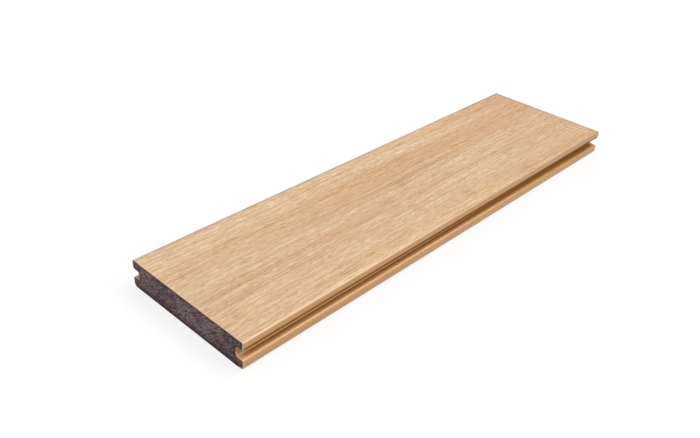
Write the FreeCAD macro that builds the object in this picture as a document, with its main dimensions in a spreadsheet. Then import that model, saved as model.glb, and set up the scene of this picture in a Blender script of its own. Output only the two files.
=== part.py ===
import FreeCAD, Part
import os
import Sketcher

# A grooved decking board of wood-plastic composite, cut to a short length.
# A solid core carries a thin cap that is extruded with it.  The cap covers the
# top and both edges, lines the two fixing grooves, turns in a little way under
# the board and stops there, so the underside is bare core.
#
# Frame: X across the board, Y along it, Z up.  The origin is the middle of the
# underside, which is what the board rests on.  All sizes are in millimetres.

# Driving dimensions: alias, value and what it measures.
DIMENSIONS = (
    ("board_width", 136.0, "edge to edge across the board"),
    ("board_length", 508.0, "sawn end to sawn end"),
    ("board_thickness", 26.0, "underside to walking face"),
    ("lower_lip_height", 9.5, "underside to the floor of a groove"),
    ("groove_height", 7.8, "floor to roof of a groove"),
    ("groove_depth", 7.6, "edge of the board to the back of a groove"),
    ("face_cap_thickness", 0.8, "cap on the walking face"),
    ("edge_cap_thickness", 1.2, "cap on the sides, in the grooves and turned under"),
    ("cap_turn_in", 2.0, "flat run of cap under the board, past the rounded edge"),
    ("top_edge_radius", 1.5, "edge between the walking face and a side"),
    ("upper_lip_radius", 3.0, "edge of the upper lip at the mouth of a groove"),
    ("lower_lip_radius", 1.5, "edge of the lower lip at the mouth of a groove"),
    ("groove_root_radius", 1.8, "corners at the back of a groove"),
    ("bottom_edge_radius", 3.5, "edge between a side and the underside"),
    ("core_least_radius", 0.5, "least rounding of a core edge that the cap wraps"),
)

# How far an edge may lie from its stated place and still be taken as that edge.
PLACE_TOLERANCE = 0.001

# Half widths and levels of the outside of the board.
HALF_WIDTH = "Sizes.board_width / 2"
GROOVE_BACK = "Sizes.board_width / 2 - Sizes.groove_depth"
GROOVE_FLOOR = "Sizes.lower_lip_height"
GROOVE_ROOF = "Sizes.lower_lip_height + Sizes.groove_height"
TOP_FACE = "Sizes.board_thickness"
UNDERSIDE = "0"

# The same for the core, one cap thickness further in, and the half width where
# the cap stops under the board.
CORE_HALF_WIDTH = f"{HALF_WIDTH} - Sizes.edge_cap_thickness"
CORE_GROOVE_BACK = f"{GROOVE_BACK} - Sizes.edge_cap_thickness"
CORE_GROOVE_FLOOR = f"{GROOVE_FLOOR} - Sizes.edge_cap_thickness"
CORE_GROOVE_ROOF = f"{GROOVE_ROOF} + Sizes.edge_cap_thickness"
CORE_TOP_FACE = f"{TOP_FACE} - Sizes.face_cap_thickness"
CORE_UNDERCUT = "Sizes.edge_cap_thickness"
CAP_END = f"{HALF_WIDTH} - Sizes.bottom_edge_radius - Sizes.cap_turn_in"

# Right-hand half of each section, walked from the underside up to the top face.
# Each step changes one coordinate, X or Z, to the value given.
BOARD_STEPS = (
    ("X", HALF_WIDTH),
    ("Z", GROOVE_FLOOR),
    ("X", GROOVE_BACK),
    ("Z", GROOVE_ROOF),
    ("X", HALF_WIDTH),
    ("Z", TOP_FACE),
)
CORE_STEPS = (
    ("X", CAP_END),
    ("Z", CORE_UNDERCUT),
    ("X", CORE_HALF_WIDTH),
    ("Z", CORE_GROOVE_FLOOR),
    ("X", CORE_GROOVE_BACK),
    ("Z", CORE_GROOVE_ROOF),
    ("X", CORE_HALF_WIDTH),
    ("Z", CORE_TOP_FACE),
)


def make_sheet(doc):
    """Write the driving dimensions into a spreadsheet, one alias a row."""
    sheet = doc.addObject("Spreadsheet::Sheet", "Sizes")
    for row, (alias, value, note) in enumerate(DIMENSIONS, start=1):
        sheet.set(f"A{row}", alias)
        sheet.set(f"B{row}", str(value))
        sheet.set(f"C{row}", note)
        sheet.setAlias(f"B{row}", alias)
    doc.recompute()


def size_of(item, expression):
    """Return the present value of an expression as a plain number."""
    return float(item.evalExpression(expression))


def corners_of(sketch, steps):
    """Turn the steps into corners, as (x, z) pairs, from the underside up."""
    x, z = 0.0, 0.0
    corners = []
    for axis, expression in steps:
        value = size_of(sketch, expression)
        x, z = (value, z) if axis == "X" else (x, value)
        corners.append((x, z))
    return corners


def draw_outline(sketch, outline):
    """Draw a closed outline, where line number k starts at corner k."""
    count = len(outline)
    for k, (x, z) in enumerate(outline):
        next_x, next_z = outline[(k + 1) % count]
        start = FreeCAD.Vector(x, z, 0)
        end = FreeCAD.Vector(next_x, next_z, 0)
        sketch.addGeometry(Part.LineSegment(start, end), False)
    for k in range(count):
        joined = Sketcher.Constraint("Coincident", k, 2, (k + 1) % count, 1)
        sketch.addConstraint(joined)


def dimension_corner(sketch, corner, axis, expression):
    """Dimension a corner from the origin and bind it to the sheet."""
    kind = "DistanceX" if axis == "X" else "DistanceY"
    value = size_of(sketch, expression)
    dimension = Sketcher.Constraint(kind, -1, 1, corner, 1, value)
    index = sketch.addConstraint(dimension)
    sketch.setExpression(f"Constraints[{index}]", expression)


def draw_section(body, steps):
    """Sketch a section that is the same on both sides of the middle line.

    The right half is dimensioned, one dimension for each step, and the left
    half follows it by symmetry.
    """
    sketch = body.newObject("Sketcher::SketchObject", f"{body.Name}_section")
    plane = next(f for f in body.Origin.OriginFeatures if f.Role == "XZ_Plane")
    sketch.AttachmentSupport = (plane, [""])
    sketch.MapMode = "FlatFace"

    right = corners_of(sketch, steps)
    left = [(-x, z) for x, z in reversed(right)]
    draw_outline(sketch, right + left)

    # The first corner lies on the base line, and each later one is level with
    # the corner before it or square above it.
    sketch.addConstraint(Sketcher.Constraint("PointOnObject", 0, 1, -1))
    for k, (axis, expression) in enumerate(steps):
        if k > 0:
            kind = "Horizontal" if axis == "X" else "Vertical"
            sketch.addConstraint(Sketcher.Constraint(kind, k - 1))
        dimension_corner(sketch, k, axis, expression)
    last = 2 * len(steps) - 1
    for k in range(len(steps)):
        mirrored = Sketcher.Constraint("Symmetric", k, 1, last - k, 1, -2)
        sketch.addConstraint(mirrored)
    return sketch


def extrude(body, sketch):
    """Pad a section along the board, half to each side of the middle."""
    pad = body.newObject("PartDesign::Pad", f"{body.Name}_extrusion")
    pad.Profile = sketch
    pad.SideType = "Symmetric"
    pad.setExpression("Length", "Sizes.board_length")
    body.Document.recompute()
    return pad


def long_edges_at(shape, places):
    """Name the edges that run along the board through the given places."""
    names = []
    for number, edge in enumerate(shape.Edges, start=1):
        box = edge.BoundBox
        if max(box.XLength, box.ZLength) > PLACE_TOLERANCE:
            continue
        for x, z in places:
            off = max(abs(abs(box.XMin) - x), abs(box.ZMin - z))
            if off < PLACE_TOLERANCE:
                names.append(f"Edge{number}")
    return names


def round_edges(body, base, name, radius, places):
    """Fillet the long edges at the given places, on both sides of the board."""
    values = [[size_of(body, term) for term in place] for place in places]
    fillet = body.newObject("PartDesign::Fillet", f"{body.Name}_{name}")
    fillet.Base = (base, long_edges_at(base.Shape, values))
    fillet.setExpression("Radius", radius)
    body.Document.recompute()
    return fillet


def wrapped_radius(outer, cap):
    """Return the core's radius under an outer edge that the cap wraps."""
    return f"max(Sizes.{outer} - Sizes.{cap}; Sizes.core_least_radius)"


def make_core(doc):
    """Model the solid core, whose foot comes down level with the cap's ends."""
    core = doc.addObject("PartDesign::Body", "core")
    core.Label = "core"
    bar = extrude(core, draw_section(core, CORE_STEPS))

    radius = wrapped_radius("top_edge_radius", "face_cap_thickness")
    places = [(CORE_HALF_WIDTH, CORE_TOP_FACE)]
    bar = round_edges(core, bar, "top_edges", radius, places)

    radius = wrapped_radius("upper_lip_radius", "edge_cap_thickness")
    places = [(CORE_HALF_WIDTH, CORE_GROOVE_ROOF)]
    bar = round_edges(core, bar, "upper_lip_edges", radius, places)

    radius = wrapped_radius("lower_lip_radius", "edge_cap_thickness")
    places = [(CORE_HALF_WIDTH, CORE_GROOVE_FLOOR)]
    bar = round_edges(core, bar, "lower_lip_edges", radius, places)

    radius = "Sizes.groove_root_radius + Sizes.edge_cap_thickness"
    places = [(CORE_GROOVE_BACK, CORE_GROOVE_ROOF), (CORE_GROOVE_BACK, CORE_GROOVE_FLOOR)]
    bar = round_edges(core, bar, "groove_roots", radius, places)

    radius = wrapped_radius("bottom_edge_radius", "edge_cap_thickness")
    places = [(CORE_HALF_WIDTH, CORE_UNDERCUT)]
    round_edges(core, bar, "bottom_edges", radius, places)
    return core


def make_whole_board(doc):
    """Model the outside of the board as one bar, core and cap together."""
    board = doc.addObject("PartDesign::Body", "whole_board")
    bar = extrude(board, draw_section(board, BOARD_STEPS))

    places = [(HALF_WIDTH, TOP_FACE)]
    bar = round_edges(board, bar, "top_edges", "Sizes.top_edge_radius", places)

    places = [(HALF_WIDTH, GROOVE_ROOF)]
    bar = round_edges(board, bar, "upper_lip_edges", "Sizes.upper_lip_radius", places)

    places = [(HALF_WIDTH, GROOVE_FLOOR)]
    bar = round_edges(board, bar, "lower_lip_edges", "Sizes.lower_lip_radius", places)

    places = [(GROOVE_BACK, GROOVE_ROOF), (GROOVE_BACK, GROOVE_FLOOR)]
    bar = round_edges(board, bar, "groove_roots", "Sizes.groove_root_radius", places)

    places = [(HALF_WIDTH, UNDERSIDE)]
    round_edges(board, bar, "bottom_edges", "Sizes.bottom_edge_radius", places)
    return board


def make_cap_shell(doc, core):
    """Take the core out of the whole board, which leaves the cap."""
    cap = doc.addObject("Part::Cut", "cap_shell")
    cap.Label = "cap_shell"
    cap.Base = make_whole_board(doc)
    cap.Tool = core
    doc.recompute()
    return cap


def check_document(doc, pieces):
    """Stop if any object failed to build or any piece is not a sound solid."""
    for item in doc.Objects:
        if "Invalid" in item.State or "Error" in item.State:
            raise RuntimeError(f"{item.Label} failed to build: {item.State}")
    for piece in pieces:
        shape = piece.Shape
        if shape.isNull() or not shape.isValid() or len(shape.Solids) != 1:
            raise RuntimeError(f"{piece.Label} is not one valid solid")


def export(pieces):
    """Write each piece to its own file, named after its label."""
    os.makedirs("parts", exist_ok=True)
    for piece in pieces:
        piece.Shape.exportStep(f"parts/{piece.Label}.step")
        box = piece.Shape.BoundBox
        extents = f"{box.XLength:.2f} x {box.YLength:.2f} x {box.ZLength:.2f} mm"
        volume = f"{piece.Shape.Volume / 1000.0:.1f} cm3"
        print(f"{piece.Label}: {extents}, {volume}, {len(piece.Shape.Faces)} faces")


document = FreeCAD.newDocument("decking_board")
make_sheet(document)
core_piece = make_core(document)
cap_piece = make_cap_shell(document, core_piece)
check_document(document, [core_piece, cap_piece])
export([core_piece, cap_piece])
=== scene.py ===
"""Looks of a grooved and capped decking board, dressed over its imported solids.

Lengths are in millimetres, as the stock is sold, and go out in metres.  X runs
across the board, Y along it towards the far sawn end, both from the middle, and
Z up from the floor.
"""

import logging
import math
from dataclasses import dataclass
from enum import Enum

import bpy
import numpy as np
from mathutils import Matrix, Vector
from mathutils.geometry import delaunay_2d_cdt

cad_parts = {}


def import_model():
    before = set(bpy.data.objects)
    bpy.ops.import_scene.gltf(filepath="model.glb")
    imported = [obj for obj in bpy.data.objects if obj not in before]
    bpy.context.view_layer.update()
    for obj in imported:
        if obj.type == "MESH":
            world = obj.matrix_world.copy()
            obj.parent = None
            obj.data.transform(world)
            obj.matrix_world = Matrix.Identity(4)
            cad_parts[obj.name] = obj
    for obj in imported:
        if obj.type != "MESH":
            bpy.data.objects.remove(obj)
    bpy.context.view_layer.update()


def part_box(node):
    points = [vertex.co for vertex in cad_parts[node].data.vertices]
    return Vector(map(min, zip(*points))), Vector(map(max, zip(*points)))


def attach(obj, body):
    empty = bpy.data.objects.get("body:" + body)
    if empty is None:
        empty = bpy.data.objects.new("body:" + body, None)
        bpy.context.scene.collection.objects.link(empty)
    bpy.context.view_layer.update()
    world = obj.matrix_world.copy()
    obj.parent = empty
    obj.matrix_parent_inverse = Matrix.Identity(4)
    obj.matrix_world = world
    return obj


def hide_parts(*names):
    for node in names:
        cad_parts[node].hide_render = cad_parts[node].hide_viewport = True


MM = 0.001
TOUCH = 0.01
LOG = logging.getLogger("decking_board")

Colour = tuple[float, float, float]
Span = tuple[float, float]
Quad = tuple[int, ...]
Input = bpy.types.NodeSocket | float | Colour


class Skin(Enum):
    """Which finish a face of the board takes, in the order of its slots."""

    EXTRUDED = 0
    SAWN = 1
    GROOVE = 2


class Layer(Enum):
    """Which of the board's two layers an outline belongs to."""

    CAP = "outside of the cap"
    CORE = "core, under the cap"


def smooth_step(value: np.ndarray, low: float, high: float) -> np.ndarray:
    """Rise smoothly from 0 to 1.

    Args:
        value: what is compared.
        low: value at which the result leaves 0.
        high: value at which it reaches 1.

    Returns:
        Shares from 0 to 1, one for each value.
    """
    share = np.clip((value - low) / (high - low), 0.0, 1.0)
    return share * share * (3.0 - 2.0 * share)


@dataclass(frozen=True)
class Ramp:
    """A share that leaves 0 at one value and is in full at another."""

    start: float
    full: float
    share: float = 1.0

    def at(self, value: np.ndarray) -> np.ndarray:
        """Read the share, which rises smoothly, for each value."""
        return self.share * smooth_step(value, self.start, self.full)


@dataclass(frozen=True)
class Figure:
    """A seeded pattern that varies smoothly over a plane, from 0 to 1."""

    seed: int
    cell: Span
    start: Span
    side: int = 256

    def at(self, across: np.ndarray, along: np.ndarray) -> np.ndarray:
        """Read the pattern.

        Args:
            across: first coordinate, in the unit of the cells' size.
            along: second coordinate, in the same unit.

        Returns:
            One value from 0 to 1 for each pair of coordinates.
        """
        lattice = np.random.default_rng(self.seed).random((self.side, self.side))
        across = across / self.cell[0] + self.start[0]
        along = along / self.cell[1] + self.start[1]
        column = np.floor(across).astype(int)
        row = np.floor(along).astype(int)
        u = smooth_step(across - column, 0.0, 1.0)
        v = smooth_step(along - row, 0.0, 1.0)
        left, right = column % self.side, (column + 1) % self.side
        low, high = row % self.side, (row + 1) % self.side
        near = lattice[left, low] * (1.0 - u) + lattice[right, low] * u
        far = lattice[left, high] * (1.0 - u) + lattice[right, high] * u
        return near * (1.0 - v) + far * v


@dataclass(frozen=True)
class Corner:
    """One corner of the board's section, with the radius it is rounded to."""

    x: float
    z: float
    radius: float


@dataclass(frozen=True)
class Section:
    """The board's section: a flat slab with a fixing groove in each edge."""

    width: float
    thickness: float
    lower_lip: float = 9.5
    groove_height: float = 7.8
    groove_depth: float = 7.6
    face_cap: float = 0.8
    edge_cap: float = 1.2
    cap_turn_in: float = 2.0
    top_radius: float = 1.5
    upper_lip_radius: float = 3.0
    lower_lip_radius: float = 1.5
    root_radius: float = 1.8
    bottom_radius: float = 3.5
    core_least_radius: float = 0.5
    arc_steps: int = 8

    @property
    def cap_end(self) -> float:
        """Half width at which the cap stops under the board."""
        return self.width / 2 - self.bottom_radius - self.cap_turn_in

    def cover(self, layer: Layer) -> Span:
        """Say how much cap lies over a layer, on its edges and on its top."""
        return (self.edge_cap, self.face_cap) if layer is Layer.CORE else (0.0, 0.0)

    def corners(self, layer: Layer) -> list[Corner]:
        """List the right-hand corners, from the underside up.

        Args:
            layer: the layer whose outline is wanted.

        Returns:
            The corners, each with its rounding.
        """
        edge, face = self.cover(layer)
        least = self.core_least_radius if layer is Layer.CORE else 0.0
        side = self.width / 2 - edge
        back = self.width / 2 - self.groove_depth - edge
        floor = self.lower_lip - edge
        roof = self.lower_lip + self.groove_height + edge
        root = self.root_radius + edge
        return [
            Corner(side, edge, max(self.bottom_radius - edge, least)),
            Corner(side, floor, max(self.lower_lip_radius - edge, least)),
            Corner(back, floor, root),
            Corner(back, roof, root),
            Corner(side, roof, max(self.upper_lip_radius - edge, least)),
            Corner(side, self.thickness - face, max(self.top_radius - face, least)),
        ]

    def flats(self, layer: Layer) -> list[tuple[np.ndarray, np.ndarray]]:
        """List the straight runs of the right-hand half, with both ends of each.

        Args:
            layer: the layer whose outline is wanted.

        Returns:
            The runs, from the cap's end under the board to the middle line.
        """
        edge, face = self.cover(layer)
        first = Corner(self.cap_end, edge, 0.0)
        last = Corner(0.0, self.thickness - face, 0.0)
        stops = [first, *self.corners(layer), last]
        runs = []
        for here, there in zip(stops, stops[1:]):
            start = np.array([here.x, here.z])
            end = np.array([there.x, there.z])
            ahead = (end - start) / np.linalg.norm(end - start)
            runs.append((start + ahead * here.radius, end - ahead * there.radius))
        return runs

    def half(self, layer: Layer, pitch: float, face_pitch: float) -> np.ndarray:
        """Walk the right-hand half, from the cap's end up to the middle line.

        Both layers give the same number of points, which face each other.

        Args:
            layer: the layer whose outline is wanted.
            pitch: spacing of points along the edge's flats.
            face_pitch: spacing of points across the walking face.

        Returns:
            Points as rows of x and z.
        """
        outside = self.flats(Layer.CAP)
        pitches = [pitch] * (len(outside) - 1) + [face_pitch]
        points = []
        runs = self.flats(layer)
        for k, (start, end) in enumerate(runs):
            length = float(np.linalg.norm(outside[k][1] - outside[k][0]))
            count = max(1, round(length / pitches[k]))
            points.extend(start + (end - start) * n / count for n in range(count + 1))
            if k + 1 < len(runs):
                points.extend(self._arc(self.corners(layer)[k], end, runs[k + 1][0]))
        return np.array(points)

    def _arc(self, corner: Corner, start: np.ndarray, end: np.ndarray) -> list[np.ndarray]:
        """Round a corner.

        Args:
            corner: the corner.
            start: where the rounding leaves the first flat.
            end: where it meets the next.

        Returns:
            The points between the two.
        """
        tip = np.array([corner.x, corner.z])
        hub = start + end - tip
        points = []
        for step in range(1, self.arc_steps):
            turn = 0.5 * math.pi * step / self.arc_steps
            points.append(hub + (start - hub) * math.cos(turn) + (end - hub) * math.sin(turn))
        return points

    def path(self, layer: Layer, pitch: float, face_pitch: float) -> np.ndarray:
        """Walk round from the right end of the cap, over the top, to the left.

        Args:
            layer: the layer whose outline is wanted.
            pitch: spacing of points along the edge's flats.
            face_pitch: spacing of points across the walking face.

        Returns:
            Points as rows of x and z, counter-clockwise seen from the near end.
        """
        right = self.half(layer, pitch, face_pitch)
        left = right[-2::-1] * np.array([-1.0, 1.0])
        return np.vstack([right, left])


@dataclass(frozen=True)
class Run:
    """The board's length, cut into rows that are closest at the sawn ends."""

    length: float
    end_rows: tuple[float, ...] = (0.0, 0.15, 0.4, 0.9, 1.8)
    first_gap: float = 0.7

    def rows(self, pitch: float) -> np.ndarray:
        """Place the rows.

        Args:
            pitch: spacing of the rows between the ends.

        Returns:
            Positions along Y, from the near end to the far end.
        """
        ends = np.array(self.end_rows)
        inner_start = ends[-1] + self.first_gap * pitch
        inner_length = self.length - 2 * inner_start
        count = round(inner_length / pitch)
        middle = np.linspace(inner_start, self.length - inner_start, count + 1)
        far = self.length - ends[::-1]
        return np.concatenate([ends, middle, far]) - self.length / 2

    def from_end(self, along: np.ndarray) -> np.ndarray:
        """Distance of each position from the nearer sawn end."""
        return self.length / 2 - np.abs(along)


@dataclass(frozen=True)
class PressedGrain:
    """Straight, slightly wandering wood grain pressed into the walking face."""

    wander: float = 6.5
    ripple: float = 2.2
    slow: Figure = Figure(11, (55.0, 170.0), (40.0, 40.0))
    quick: Figure = Figure(12, (20.0, 58.0), (40.0, 40.0))
    pore_depth: float = 0.1
    dashes: Figure = Figure(21, (0.9, 34.0), (90.0, 90.0))
    dash_edge: Span = (0.7, 0.95)
    bands: Figure = Figure(23, (13.0, 150.0), (90.0, 90.0))
    band_edge: Span = (0.35, 0.75)
    brushing_depth: float = 0.06
    brushing: Figure = Figure(31, (1.0, 110.0), (60.0, 60.0))
    broad: Figure = Figure(32, (4.0, 190.0), (60.0, 60.0))
    broad_share: float = 0.4

    def lines(self, x: np.ndarray, y: np.ndarray) -> np.ndarray:
        """Find which grain line each point lies on.

        Args:
            x: place across the board.
            y: place along the board.

        Returns:
            The place across that the grain line has where it is straight.
        """
        slow = self.slow.at(x, y) - 0.5
        quick = self.quick.at(x, y) - 0.5
        return x + self.wander * slow + self.ripple * quick

    def pores(self, line: np.ndarray, y: np.ndarray) -> np.ndarray:
        """Say how deep in a pore each point is.

        Args:
            line: the grain line of each point, from lines().
            y: place along the board.

        Returns:
            0 between the pores and up to 1 at the bottom of one.
        """
        dashes = smooth_step(self.dashes.at(line, y), *self.dash_edge)
        return dashes * smooth_step(self.bands.at(line, y), *self.band_edge)

    def depth(self, line: np.ndarray, y: np.ndarray) -> np.ndarray:
        """Say how far the pressed face lies below the flat, in millimetres."""
        fine = (1.0 - self.broad_share) * self.brushing.at(line, y)
        broad = self.broad_share * self.broad.at(line, y)
        return self.brushing_depth * (fine + broad) + self.pore_depth * self.pores(line, y)


@dataclass(frozen=True)
class SawCut:
    """The relief that a circular saw leaves on a sawn end."""

    seed: int
    blade_x: float = -24.0
    blade_top: float = 12.0
    blade_radius: float = 140.0
    tooth_pitch: float = 1.7
    tooth_depth: float = 0.05
    rough_depth: float = 0.05
    pit_depth: float = 0.32
    tooth_cell: Span = (14.0, 14.0)
    rough_cell: Span = (0.5, 0.5)
    mark_start: float = 20.0
    fibre_bend: float = 5.0
    bend_cell: Span = (9.0, 9.0)
    bend_start: float = 30.0
    flat_pit_cell: Span = (2.2, 0.7)
    flat_pit_edge: Span = (0.6, 0.95)
    upright_pit_cell: Span = (0.8, 1.8)
    upright_pit_edge: Span = (0.68, 0.95)
    pit_start: float = 70.0

    def figure(self, number: int, cell: Span, start: float) -> Figure:
        """Give one of the cut's own patterns, seeded after the cut."""
        return Figure(self.seed + number, cell, (start, start))

    def pits(self, x: np.ndarray, z: np.ndarray) -> np.ndarray:
        """Say how deep in a torn-out fibre's pit each point is, from 0 to 1."""
        u = x + self.fibre_bend * (self.figure(0, self.bend_cell, self.bend_start).at(x, z) - 0.5)
        v = z + self.fibre_bend * (self.figure(1, self.bend_cell, self.bend_start).at(x, z) - 0.5)
        flat = self.figure(2, self.flat_pit_cell, self.pit_start).at(u, v)
        upright = self.figure(3, self.upright_pit_cell, self.pit_start).at(u, v)
        pits = smooth_step(flat, *self.flat_pit_edge) + smooth_step(upright, *self.upright_pit_edge)
        return np.clip(pits, 0.0, 1.0)

    def depth(self, x: np.ndarray, z: np.ndarray) -> np.ndarray:
        """Say how far the sawn face lies inside the true end, in millimetres."""
        reach = np.hypot(x - self.blade_x, z + self.blade_radius - self.blade_top)
        teeth = 0.5 + 0.5 * np.sin(2 * math.pi * reach / self.tooth_pitch)
        strength = self.figure(4, self.tooth_cell, self.mark_start).at(x, z)
        rough = self.figure(5, self.rough_cell, self.mark_start).at(x, z)
        marks = self.tooth_depth * teeth * strength
        return marks + self.rough_depth * rough + self.pit_depth * self.pits(x, z)


@dataclass(frozen=True)
class Cells:
    """The cells of a pattern over the board: their size in millimetres and their lean.

    A size of 0 makes the pattern endless along that axis.
    """

    size: tuple[float, float, float]
    detail: float = 2.0
    lean: float = 0.0

    @property
    def in_metres(self) -> tuple[float, ...]:
        """The cells' size in metres."""
        return tuple(size * MM for size in self.size)


class Recipe:
    """A material's node tree, wrapped so that a finish reads as a recipe."""

    FIRST_CELL = (31.7, 17.3, 5.9)
    USUAL_RANGE = (0.3, 0.7)

    def __init__(self, name: str) -> None:
        """Start a material with one plain shader.

        Args:
            name: the material's name.
        """
        self.material = bpy.data.materials.new(name)
        self.material.use_nodes = True
        self.tree = self.material.node_tree
        self.tree.nodes.clear()
        self.shader = self.tree.nodes.new("ShaderNodeBsdfPrincipled")
        output = self.tree.nodes.new("ShaderNodeOutputMaterial")
        self.tree.links.new(self.shader.outputs["BSDF"], output.inputs["Surface"])

    def plug(self, value: Input, socket: bpy.types.NodeSocket) -> None:
        """Set a socket to a number or colour, or link another socket to it."""
        if isinstance(value, bpy.types.NodeSocket):
            self.tree.links.new(value, socket)
        elif isinstance(value, tuple) and len(value) == 3 and socket.type == "RGBA":
            socket.default_value = (*value, 1.0)
        else:
            socket.default_value = value

    def attribute(self, name: str, output: str = "Fac") -> bpy.types.NodeSocket:
        """Read one of the mesh's own measures.

        Args:
            name: the measure's name.
            output: Fac for a number, Vector for a place.

        Returns:
            The socket that holds it.
        """
        node = self.tree.nodes.new("ShaderNodeAttribute")
        node.attribute_name = name
        return node.outputs[output]

    def place(self) -> bpy.types.NodeSocket:
        """Read the place on the board, in metres."""
        return self.tree.nodes.new("ShaderNodeTexCoord").outputs["Object"]

    def separate(self, place: Input, axis: str) -> bpy.types.NodeSocket:
        """Take one axis of a place."""
        node = self.tree.nodes.new("ShaderNodeSeparateXYZ")
        self.plug(place, node.inputs[0])
        return node.outputs[axis]

    def cells(self, place: Input, size: tuple[float, ...]) -> bpy.types.NodeSocket:
        """Count a place in cells of a pattern.

        The count starts off the board's middle, so that patterns of different sizes
        have no cell walls in common.

        Args:
            place: socket with the place, in any unit of length.
            size: a cell's size along each axis, in the same unit.

        Returns:
            The socket with the place in cells.
        """
        node = self.tree.nodes.new("ShaderNodeVectorMath")
        node.operation = "MULTIPLY_ADD"
        self.plug(place, node.inputs[0])
        node.inputs[1].default_value = tuple(0.0 if s == 0 else 1.0 / s for s in size)
        node.inputs[2].default_value = self.FIRST_CELL
        return node.outputs[0]

    def bend(self, place: Input, by: Input, reach: float) -> bpy.types.NodeSocket:
        """Push a place about by a coloured pattern, over a reach in millimetres."""
        centred = self.tree.nodes.new("ShaderNodeVectorMath")
        centred.operation = "SUBTRACT"
        self.plug(by, centred.inputs[0])
        centred.inputs[1].default_value = (0.5, 0.5, 0.5)
        scaled = self.tree.nodes.new("ShaderNodeVectorMath")
        scaled.operation = "SCALE"
        self.plug(centred.outputs[0], scaled.inputs[0])
        scaled.inputs["Scale"].default_value = reach * MM
        total = self.tree.nodes.new("ShaderNodeVectorMath")
        total.operation = "ADD"
        self.plug(place, total.inputs[0])
        self.plug(scaled.outputs[0], total.inputs[1])
        return total.outputs[0]

    def lean(self, place: Input, degrees: float) -> bpy.types.NodeSocket:
        """Turn a place about the board's length, so that a pattern leans."""
        node = self.tree.nodes.new("ShaderNodeVectorRotate")
        node.rotation_type = "Y_AXIS"
        node.inputs["Angle"].default_value = math.radians(degrees)
        self.plug(place, node.inputs["Vector"])
        return node.outputs[0]

    def noise(self, cells: Input, detail: float = 2.0, output: str = "Fac") -> bpy.types.NodeSocket:
        """Add a smooth random pattern.

        Args:
            cells: socket with the place in cells.
            detail: how many finer layers it has.
            output: Fac for a number, Color for three.

        Returns:
            The pattern's socket.
        """
        node = self.tree.nodes.new("ShaderNodeTexNoise")
        node.inputs["Scale"].default_value = 1.0
        node.inputs["Detail"].default_value = detail
        self.plug(cells, node.inputs["Vector"])
        return node.outputs[output]

    def pattern(self, place: Input, cells: Cells, output: str = "Fac") -> bpy.types.NodeSocket:
        """Add a smooth random pattern over the board.

        Args:
            place: socket with the place, in metres.
            cells: the pattern's cells.
            output: Fac for a number, Color for three.

        Returns:
            The pattern's socket.
        """
        if cells.lean:
            place = self.lean(place, cells.lean)
        return self.noise(self.cells(place, cells.in_metres), cells.detail, output)

    def chips(self, place: Input, cells: Cells) -> bpy.types.NodeSocket:
        """Add a pattern of small chips over the board, each of one random tone."""
        node = self.tree.nodes.new("ShaderNodeTexVoronoi")
        node.inputs["Scale"].default_value = 1.0
        self.plug(self.cells(place, cells.in_metres), node.inputs["Vector"])
        return node.outputs["Color"]

    def rescale(self, value: Input, low: float, high: float, to: Span = (0.0, 1.0)) -> bpy.types.NodeSocket:
        """Stretch a number from one range to another and hold it there.

        Args:
            value: socket or number to stretch.
            low: value that becomes the first of to.
            high: value that becomes the second of to.
            to: the new range.

        Returns:
            The stretched number's socket.
        """
        node = self.tree.nodes.new("ShaderNodeMapRange")
        node.clamp = True
        self.plug(value, node.inputs["Value"])
        node.inputs["From Min"].default_value = low
        node.inputs["From Max"].default_value = high
        node.inputs["To Min"].default_value = to[0]
        node.inputs["To Max"].default_value = to[1]
        return node.outputs["Result"]

    def vary(self, pattern: Input, to: Span) -> bpy.types.NodeSocket:
        """Let a pattern vary a number from one value to another."""
        return self.rescale(pattern, *self.USUAL_RANGE, to)

    def follow(self, value: Input, ramp: Ramp, unit: float = 1.0) -> bpy.types.NodeSocket:
        """Follow a ramp over a number, with the ramp in any unit."""
        return self.rescale(value, ramp.start * unit, ramp.full * unit, (0.0, ramp.share))

    def zone(self, distance: Input, ramp: Ramp) -> bpy.types.NodeSocket:
        """Follow a ramp over a distance, with the ramp in millimetres."""
        return self.follow(distance, ramp, MM)

    def maths(self, operation: str, first: Input, second: Input) -> bpy.types.NodeSocket:
        """Combine two numbers."""
        node = self.tree.nodes.new("ShaderNodeMath")
        node.operation = operation
        self.plug(first, node.inputs[0])
        self.plug(second, node.inputs[1])
        return node.outputs[0]

    def blend(self, share: Input, first: Input, second: Input, mode: str = "MIX") -> bpy.types.NodeSocket:
        """Lay one colour over another.

        Args:
            share: how much of the second shows.
            first: colour underneath.
            second: colour on top.
            mode: how the two combine.

        Returns:
            The combined colour's socket.
        """
        node = self.tree.nodes.new("ShaderNodeMix")
        node.data_type = "RGBA"
        node.blend_type = mode
        self.plug(share, node.inputs[0])
        self.plug(first, node.inputs[6])
        self.plug(second, node.inputs[7])
        return node.outputs[2]

    def tint(
        self, under: Input, pattern: Input, ramp: Ramp, colour: Colour, mode: str = "MIX"
    ) -> bpy.types.NodeSocket:
        """Lay a colour over another as far as a pattern asks for it.

        Args:
            under: colour underneath.
            pattern: socket with the pattern, from 0 to 1.
            ramp: how much of the new colour shows at each value of the pattern.
            colour: colour on top.
            mode: how the two combine.

        Returns:
            The combined colour's socket.
        """
        return self.blend(self.follow(pattern, ramp), under, colour, mode)

    def relief(self, height: Input, depth: float, strength: float) -> None:
        """Roughen the shading by a height pattern.

        Args:
            height: socket with the pattern, from 0 to 1.
            depth: what a height of 1 stands for, in millimetres.
            strength: how much of it shows.
        """
        node = self.tree.nodes.new("ShaderNodeBump")
        node.inputs["Distance"].default_value = depth * MM
        node.inputs["Strength"].default_value = strength
        self.plug(height, node.inputs["Height"])
        self.plug(node.outputs["Normal"], self.shader.inputs["Normal"])

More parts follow.
